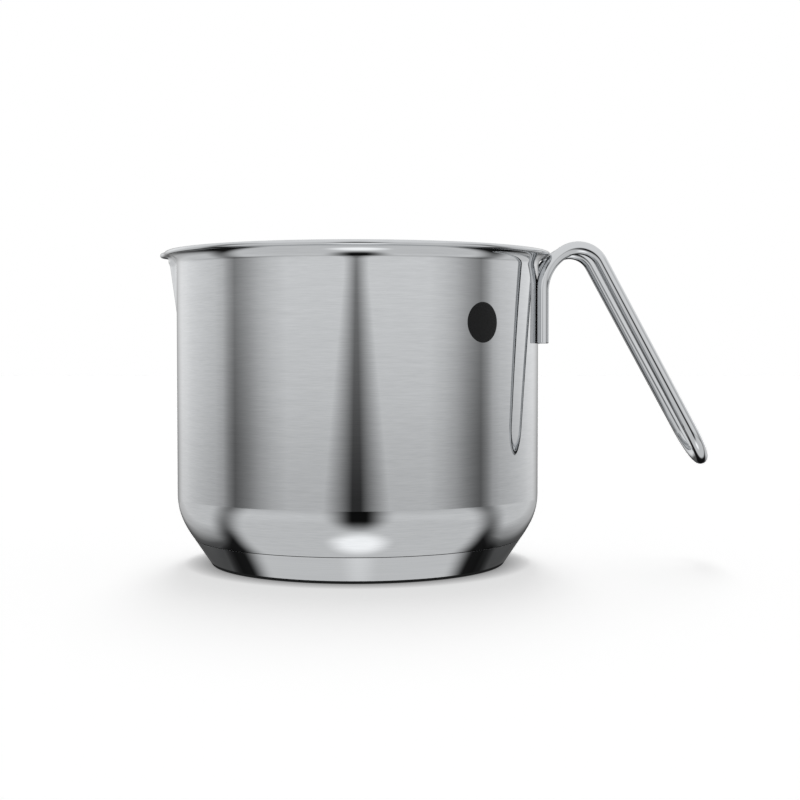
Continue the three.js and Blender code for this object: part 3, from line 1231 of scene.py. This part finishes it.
@dataclass(frozen=True)
class PrintedDot:
    """A plain round dot printed on the wall, in the place of the photographed mark."""

    wall_radius: float = 0.0708
    radius: float = 0.0073
    thickness: float = 0.00004
    sunk: float = 0.00005
    azimuth: float = math.radians(40.8)
    height: float = 0.0935
    # The ink thins out at its edge
    edge_start: float = 0.995
    edge_share: float = 0.6
    rings: int = 12
    spokes: int = 96
    finish: Finish = field(default_factory=StoveInk)

    def place(self, aside: float, up: float, out: float) -> Vector:
        """A point on or over the wall.

        Args:
            aside: Distance round the wall from the dot's centre.
            up: Height over the dot's centre.
            out: Distance outside the wall.

        Returns:
            The point.
        """
        angle = self.azimuth + aside / self.wall_radius
        reach = self.wall_radius + out
        return Vector((reach * math.sin(angle), -reach * math.cos(angle), self.height + up))

    def build(self) -> Piece:
        """Builds the dot as a thin closed disc that follows the wall.

        Returns:
            The dot.
        """
        thick = self.thickness
        layers = [(i / self.rings, thick) for i in range(1, self.rings)]
        layers += [(self.edge_start, thick), (1.0, thick * self.edge_share), (1.0, -self.sunk)]
        layers += [(i / self.rings, -self.sunk) for i in range(self.rings - 1, 0, -1)]
        points = [self.place(0.0, 0.0, thick)]
        for share, out in layers:
            for spoke in range(self.spokes):
                turn = 2 * math.pi * spoke / self.spokes
                reach = self.radius * share
                points.append(self.place(reach * math.cos(turn), reach * math.sin(turn), out))
        points.append(self.place(0.0, 0.0, -self.sunk))
        faces = []
        for spoke in range(self.spokes):
            here, there = 1 + spoke, 1 + (spoke + 1) % self.spokes
            faces.append((0, here, there))
            for layer in range(len(layers) - 1):
                low, high = layer * self.spokes, (layer + 1) * self.spokes
                faces.append((here + low, here + high, there + high, there + low))
            last = (len(layers) - 1) * self.spokes
            faces.append((here + last, len(points) - 1, there + last))
        dot = mesh_object("printed_dot", points, [], faces)
        dot.data.shade_smooth()
        dot.data.materials.append(self.finish.material())
        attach(dot, Body.ROOT.value)
        return dot


# The studio


@dataclass(frozen=True)
class Camera:
    """The photograph's camera, found from the rim, the seam, the foot and the wall's edges."""

    place: tuple[float, float, float] = (0.01655, -0.5633, 0.0839)
    pitch: float = 0.0357
    focal_pixels: float = 1423.5
    image_pixels: float = 800.0
    sensor_width: float = 36.0
    nearest: float = 0.01

    def build(self) -> Piece:
        """Makes the camera and gives it to the scene.

        Returns:
            The camera.
        """
        lens = bpy.data.cameras.new("camera")
        lens.sensor_width = self.sensor_width
        lens.lens = self.focal_pixels / self.image_pixels * self.sensor_width
        lens.clip_start = self.nearest
        camera = bpy.data.objects.new("camera", lens)
        camera.location = self.place
        camera.rotation_euler = (math.pi / 2 - self.pitch, 0.0, 0.0)
        bpy.context.scene.collection.objects.link(camera)
        bpy.context.scene.camera = camera
        return camera


@dataclass(frozen=True)
class LightTent:
    """The light tent: white all round, with the darker gaps that give the steel its stripes.

    Only steel sees its pattern. The camera sees plain white, and matt surfaces get even light.
    Each level is a share of white, given over an angle in degrees, a height over the horizon
    (its sine) or another measure that is named beside it.
    """

    # Round the horizon, from the camera's side to behind the pan
    near_sides: Stops = ((44, 1.0), (54, 0.89), (62, 0.75), (71, 0.53), (76, 0.43), (81.5, 0.33), (87, 0.52))
    far_sides: Stops = ((92, 0.76), (99, 0.89), (109, 0.96), (136, 1.12), (145, 1.1), (150, 1.0))
    rear: Stops = ((160, 0.68), (170, 0.36), (176, 0.25))
    brightest: float = 1.2
    lean: float = 1.7
    # Low down, the sides have more contrast, and high up they are white
    contrast: float = 1.45
    contrast_heights: Point = (-4, 2)
    white_heights: Point = (10, 40)
    # Up from just over the table, by height in degrees
    rise: Stops = ((-6, 0.71), (-4, 0.76), (-2, 0.84), (0, 0.89), (2, 0.93), (12, 1.0))
    rise_span: Point = (-10, 20)
    # The gap in front, through which the camera looks
    gap_heights: Point = (-6, 3)
    gap_lean: float = 0.6
    gap_cores: Point = (2.6, 0.4)
    gap_widths: Point = (20, 7.5)
    gap_levels: Point = (0.055, 0.3)
    gap_end: float = 9
    # The table in front, by depth under the horizon
    table: Stops = ((0.12, 0.73), (0.26, 0.87), (0.35, 0.86), (0.43, 0.8))
    table_edge: float = -7.4
    table_edge_blur: float = 0.4
    # The table's side edges, by the same depth
    edge_at_horizon: float = -0.484
    edge_tilt: float = 0.03
    edge_slope: float = 0.76
    edge_width: float = 0.31
    edge_near: Stops = ((0.13, 0.22), (0.26, 0.33), (0.34, 0.3), (0.42, 0.25))
    edge_far: Stops = ((0.5, 0.19), (0.57, 0.09), (0.64, 0.012))
    # Behind the table's edges, by how low and how far back
    back_near: Stops = ((0.65, 0.8), (0.85, 0.57), (0.93, 0.5), (0.985, 0.42), (1.1, 0.32), (1.15, 0.17))
    back_far: Stops = ((1.2, 0.1), (1.25, 0.045), (1.3, 0.015), (1.36, 0.007))
    back_end: float = 2.0
    back_depth: float = 0.6
    # The shade straight behind the pan, by how far aside less how low
    shade_core: Stops = ((0.0, 0.1), (0.05, 0.085), (0.07, 0.1), (0.09, 0.13), (0.11, 0.2))
    shade_rim: Stops = ((0.14, 0.29), (0.165, 0.37), (0.2, 0.48), (0.24, 1.0))
    shade_lean: float = 0.02
    shade_slope: float = 0.95
    # The dark tongue below the gap
    tongue_azimuth: float = 2.0
    tongue_heights: Point = (-43, -22.5)
    tongue_fall: float = 1.7
    tongue_inner: Point = (0, 4)
    tongue_outer: Point = (18, 24)
    tongue_level: float = 0.008
    # The lamp's image in the table
    lamp_aside: float = 0.02
    lamp_place: float = -0.47
    lamp_half_width: float = 0.31
    lamp_half_depth: float = 0.3
    lamp_core: float = 0.3
    lamp_level: float = 0.67
    # What matt surfaces get: even light, and a broad panel behind and above
    matt_level: float = 0.15
    panel_level: float = 5.5
    panel_height: float = math.radians(64)
    panel_reach: Point = (math.radians(28), math.radians(14))
    panel_sides: Point = (0.16, 0.05)

    def fill(self, node: Node, stops: Stops, span: Point = (0.0, 1.0), top: float = 1.0) -> None:
        """Fills a node's ramp with levels.

        Args:
            node: The node, whose ramp runs from 0 to 1.
            stops: Measure and level of each stop, in rising order.
            span: The measures at the ramp's ends.
            top: The level that the ramp's white stands for.
        """
        low, high = span
        elements = node.color_ramp.elements
        for measure, _ in stops[1:-1]:
            elements.new((measure - low) / (high - low))
        for element, (measure, level) in zip(elements, stops):
            element.position = (measure - low) / (high - low)
            element.color = (level / top, level / top, level / top, 1.0)

    def changing(self, tree: Tree, height: Node, heights: Point, changes: list[Point]) -> list[Node]:
        """Values that change between two heights.

        Args:
            tree: The world's tree.
            height: Height over the horizon in degrees.
            heights: The two heights.
            changes: Each value at the two heights.

        Returns:
            The values.
        """
        low, high = heights
        limits = {"Value": height, "From Min": low, "From Max": high}
        return [
            add_node(tree, MAP_RANGE, {**limits, "To Min": start, "To Max": end}) for start, end in changes
        ]

    def upper(self, tree: Tree, azimuth: Node, height: Node) -> Node:
        """The tent's walls and roof.

        Args:
            tree: The world's tree.
            azimuth: Azimuth from the camera's side in degrees.
            height: Height over the horizon in degrees.

        Returns:
            The level.
        """
        asides = []
        for lean in (self.lean, self.gap_lean):
            turn = add_node(tree, MATH, {0: azimuth, 1: lean}, operation="SUBTRACT")
            asides.append(add_node(tree, MATH, {0: turn}, operation="ABSOLUTE"))
        aside, gap_aside = asides
        around = add_node(tree, MATH, {0: aside, 1: 180.0}, operation="DIVIDE")
        panels = add_node(tree, RAMP, {"Fac": around})
        self.fill(panels, self.near_sides + self.far_sides + self.rear, (0.0, 180.0), self.brightest)
        full = add_node(tree, MATH, {0: panels, 1: self.brightest}, operation="MULTIPLY")
        (contrast,) = self.changing(tree, height, self.contrast_heights, [(self.contrast, 1.0)])
        deep = add_node(tree, MATH, {0: full, 1: contrast}, operation="POWER")
        low, high = self.white_heights
        fade = add_node(tree, MAP_RANGE, {"Value": height, "From Min": low, "From Max": high}, **SMOOTH)
        walls = add_node(tree, MIX, {0: fade, 2: deep, 3: 1.0})
        (share,) = self.changing(tree, height, self.rise_span, [(0.0, 1.0)])
        levels = add_node(tree, RAMP, {"Fac": share})
        self.fill(levels, self.rise, self.rise_span)
        lit = add_node(tree, MATH, {0: walls, 1: levels}, operation="MULTIPLY")

        # The gap closes upwards
        shapes = [self.gap_cores, self.gap_widths, self.gap_levels]
        core, width, depth = self.changing(tree, height, self.gap_heights, shapes)
        top = self.gap_heights[1]
        (closing,) = self.changing(tree, height, (top, self.gap_end), [(depth, 1.0)])
        limits = {"Value": gap_aside, "From Min": core, "From Max": width, "To Min": closing}
        gap = add_node(tree, MAP_RANGE, limits)
        return add_node(tree, MATH, {0: lit, 1: gap}, operation="MULTIPLY")

    def tongue(self, tree: Tree, azimuth: Node, height: Node) -> Node:
        """The dark tongue on the table below the gap in front.

        Args:
            tree: The world's tree.
            azimuth: Azimuth from the camera's side in degrees.
            height: Height over the horizon in degrees.

        Returns:
            The level.
        """
        beside = add_node(tree, MATH, {0: azimuth, 1: self.tongue_azimuth}, operation="SUBTRACT")
        aside = add_node(tree, MATH, {0: beside}, operation="ABSOLUTE")
        shapes = [self.tongue_inner, self.tongue_outer, (1.0, 0.0)]
        inner, outer, share = self.changing(tree, height, self.tongue_heights, shapes)
        fallen = add_node(tree, MATH, {0: share, 1: self.tongue_fall}, operation="POWER")
        level = add_node(tree, MATH, {0: fallen, 1: self.tongue_level}, operation="ADD")
        limits = {"Value": aside, "From Min": inner, "From Max": outer, "To Min": level}
        return add_node(tree, MAP_RANGE, limits, **SMOOTH)

    def lamp(self, tree: Tree, axes: dict[str, Socket]) -> Node:
        """The lamp's bright image in the table in front.

        Args:
            tree: The world's tree.
            axes: The direction's parts.

        Returns:
            The level that it adds.
        """
        sizes = {
            "X": (self.lamp_aside, self.lamp_half_width),
            "Y": (self.lamp_place, self.lamp_half_depth),
        }
        shares = {}
        for axis, (middle, half) in sizes.items():
            off = add_node(tree, MATH, {0: axes[axis], 1: middle}, operation="SUBTRACT")
            shares[axis] = add_node(tree, MATH, {0: off, 1: half}, operation="DIVIDE")
        reach = add_node(tree, VECTOR_MATH, {0: add_node(tree, JOIN, shares)}, operation="LENGTH")
        limits = {"Value": reach, "From Min": 1.0, "From Max": self.lamp_core, "To Max": self.lamp_level}
        return add_node(tree, MAP_RANGE, limits, **SMOOTH)

    def lower(self, tree: Tree, axes: dict[str, Socket], azimuth: Node, height: Node) -> Node:
        """The table as the steel sees it, and what lies behind it.

        Args:
            tree: The world's tree.
            axes: The direction's parts.
            azimuth: Azimuth from the camera's side in degrees.
            height: Height over the horizon in degrees.

        Returns:
            The level.
        """
        depth = add_node(tree, MATH, {0: axes["Z"]}, operation="ABSOLUTE")

        # How far a direction lies behind the table's side edge
        sloped = {0: depth, 1: self.edge_slope, 2: self.edge_at_horizon}
        slope = add_node(tree, MATH, sloped, operation="MULTIPLY_ADD")
        tilted = {0: axes["X"], 1: self.edge_tilt, 2: slope}
        edge = add_node(tree, MATH, tilted, operation="MULTIPLY_ADD")
        behind = add_node(tree, MATH, {0: axes["Y"], 1: edge}, operation="SUBTRACT")
        shares = []
        for start in (0.0, self.edge_width):
            limits = {"Value": behind, "From Min": start, "From Max": start + self.edge_width}
            shares.append(add_node(tree, MAP_RANGE, limits, **SMOOTH))
        falling, rising = shares

        # Behind, it grows darker downwards and backwards
        scaled = add_node(tree, MATH, {0: depth, 1: self.back_depth}, operation="DIVIDE")
        far = add_node(tree, MATH, {0: axes["Y"], 1: 2.0}, operation="POWER")
        square = add_node(tree, MATH, {0: scaled, 1: 2.0}, operation="POWER")
        reach = add_node(tree, MATH, {0: far, 1: square}, operation="ADD")
        share = add_node(tree, MATH, {0: reach, 1: self.back_end}, operation="DIVIDE")

        # Straight behind it lies the shade
        leaned = add_node(tree, MATH, {0: axes["X"], 1: self.shade_lean}, operation="ADD")
        outward = add_node(tree, MATH, {0: leaned}, operation="ABSOLUTE")
        sunk = add_node(tree, MATH, {0: depth, 1: self.shade_slope}, operation="MULTIPLY")
        past_shade = add_node(tree, MATH, {0: outward, 1: sunk}, operation="SUBTRACT")

        measures = (
            (depth, self.table, 1.0),
            (depth, self.edge_near + self.edge_far, 1.0),
            (share, self.back_near + self.back_far, self.back_end),
            (past_shade, self.shade_core + self.shade_rim, 1.0),
        )
        ramps = []
        for measure, stops, end in measures:
            ramps.append(add_node(tree, RAMP, {"Fac": measure}))
            self.fill(ramps[-1], stops, (0.0, end))
        front, dark, back, shade = ramps
        shaded = add_node(tree, MATH, {0: back, 1: shade}, operation="MINIMUM")
        to_edge = add_node(tree, MIX, {0: falling, 2: front, 3: dark})
        to_back = add_node(tree, MIX, {0: rising, 2: to_edge, 3: shaded})
        tongue = self.tongue(tree, azimuth, height)
        striped = add_node(tree, MATH, {0: to_back, 1: tongue}, operation="MULTIPLY")
        return add_node(tree, MATH, {0: striped, 1: self.lamp(tree, axes)}, operation="ADD")

    def matt(self, tree: Tree, direction: Socket, axes: dict[str, Socket]) -> Node:
        """The light on matt surfaces.

        Args:
            tree: The world's tree.
            direction: The direction.
            axes: Its parts.

        Returns:
            The level.
        """
        panel = Vector((0.0, math.cos(self.panel_height), math.sin(self.panel_height)))
        facing = add_node(tree, VECTOR_MATH, {0: direction, 1: panel}, operation="DOT_PRODUCT")
        aside = add_node(tree, MATH, {0: axes["X"]}, operation="ABSOLUTE")
        reach = [math.cos(angle) for angle in self.panel_reach]
        level = self.matt_level + self.panel_level
        for measure, (outer, inner) in ((facing, reach), (aside, self.panel_sides)):
            limits = {"Value": measure, "From Min": outer, "From Max": inner, "To Min": self.matt_level}
            level = add_node(tree, MAP_RANGE, {**limits, "To Max": level}, **SMOOTH)
        return level

    def build(self) -> bpy.types.World:
        """Makes the world.

        Returns:
            The world.
        """
        world = bpy.data.worlds.new("light tent")
        bpy.context.scene.world = world
        tree = emptied(world)
        direction = add_node(tree, "ShaderNodeTexCoord").outputs["Generated"]
        axes = add_node(tree, SPLIT, {0: direction}).outputs
        front = add_node(tree, MATH, {0: axes["Y"], 1: -1.0}, operation="MULTIPLY")
        turn = add_node(tree, MATH, {0: axes["X"], 1: front}, operation="ARCTAN2")
        tilt = add_node(tree, MATH, {0: axes["Z"]}, operation="ARCSINE")
        azimuth, height = [add_node(tree, MATH, {0: angle}, operation="DEGREES") for angle in (turn, tilt)]
        low, high = self.table_edge - self.table_edge_blur, self.table_edge + self.table_edge_blur
        over = add_node(tree, MAP_RANGE, {"Value": height, "From Min": low, "From Max": high}, **SMOOTH)
        lower, upper = self.lower(tree, axes, azimuth, height), self.upper(tree, azimuth, height)
        pattern = add_node(tree, MIX, {0: over, 2: lower, 3: upper})
        path = add_node(tree, "ShaderNodeLightPath").outputs
        matt = self.matt(tree, direction, axes)
        for_matt = add_node(tree, MIX, {0: path["Is Camera Ray"], 2: matt, 3: 1.0})
        # The steel throws no patches of the pattern on the table
        direct = add_node(tree, MATH, {0: path["Diffuse Depth"], 1: 0.5}, operation="LESS_THAN")
        seen = add_node(tree, MATH, {0: path["Is Glossy Ray"], 1: direct}, operation="MULTIPLY")
        for_steel = add_node(tree, MIX, {0: seen, 2: for_matt, 3: pattern})
        light = {"Color": linear("#FFFFFF"), "Strength": for_steel}
        background = add_node(tree, "ShaderNodeBackground", light)
        add_node(tree, "ShaderNodeOutputWorld", {"Surface": background})
        return world


@dataclass(frozen=True)
class Floor:
    """A matt white table."""

    half_size: float = 4.0
    colour: str = "#FAFAFA"
    lift: float = 0.63
    shade_reach: float = 0.009
    deepest_shade: float = 0.16

    def build(self) -> Piece:
        """Makes the floor.

        Returns:
            The floor.
        """
        size = self.half_size
        corners = [(-size, -size, 0.0), (size, -size, 0.0), (size, size, 0.0), (-size, size, 0.0)]
        floor = mesh_object("floor", corners, [], [(0, 1, 2, 3)])
        material = bpy.data.materials.new("matt white table")
        tree = emptied(material)
        matt = add_node(tree, "ShaderNodeBsdfDiffuse", {"Color": linear(self.colour)})
        # Close to the pan's foot it stays in shadow
        share = add_node(tree, "ShaderNodeAmbientOcclusion", {"Distance": self.shade_reach}).outputs["AO"]
        open_lift = add_node(tree, MIX, {0: share, 2: self.lift * self.deepest_shade, 3: self.lift})
        # Brings the table up to white for the camera alone
        seen = add_node(tree, "ShaderNodeLightPath").outputs["Is Camera Ray"]
        lifted = add_node(tree, MATH, {0: seen, 1: open_lift}, operation="MULTIPLY")
        glow = add_node(tree, "ShaderNodeEmission", {"Strength": lifted})
        total = add_node(tree, "ShaderNodeAddShader", {0: matt, 1: glow})
        add_node(tree, "ShaderNodeOutputMaterial", {"Surface": total})
        floor.data.materials.append(material)
        # The world's lower half stands for the table in the steel
        floor.visible_glossy = False
        return floor


@dataclass(frozen=True)
class ShadedTable:
    """A dark disc under the pan, painted shadow of the table, which only the steel of the foot sees."""

    radius: float = 0.0586
    depth: float = 0.0001
    level: float = 0.02
    sides: int = 128

    def build(self) -> Piece:
        """Makes the disc just under the table's face.

        Returns:
            The disc.
        """
        turns = [2 * math.pi * side / self.sides for side in range(self.sides)]
        rim = [(self.radius * math.cos(turn), self.radius * math.sin(turn), -self.depth) for turn in turns]
        disc = mesh_object("shaded_table", rim, [], [tuple(range(self.sides))])
        material = bpy.data.materials.new("table in shadow")
        tree = emptied(material)
        # Painted shadow: a dim glow that the foot's steel reflects as the shaded table under it
        dim = add_node(tree, "ShaderNodeEmission", {"Strength": self.level})
        add_node(tree, "ShaderNodeOutputMaterial", {"Surface": dim})
        disc.data.materials.append(material)
        disc.visible_camera = False
        disc.visible_diffuse = False
        disc.visible_shadow = False
        return disc


def report(piece: Piece) -> None:
    """Logs a piece's name and how many triangles it has."""
    piece.data.calc_loop_triangles()
    LOG.info("%s: %d triangles", piece.name, len(piece.data.loop_triangles))


def main() -> None:
    """Builds the pan and its studio."""
    logging.basicConfig(level=logging.INFO, format="%(name)s %(message)s")
    bpy.context.scene.view_settings.view_transform = "Standard"
    Camera().build()
    LightTent().build()
    Floor().build()
    ShadedTable().build()
    turned = turned_tree()
    report(PanBody().build(turned, pressed_spout_tree()))
    for piece in CapsuleBase().build(turned):
        report(piece)
    report(RodHandle().build(rod_tree()))
    report(PrintedDot().build())


if __name__ == "__main__":
    main()
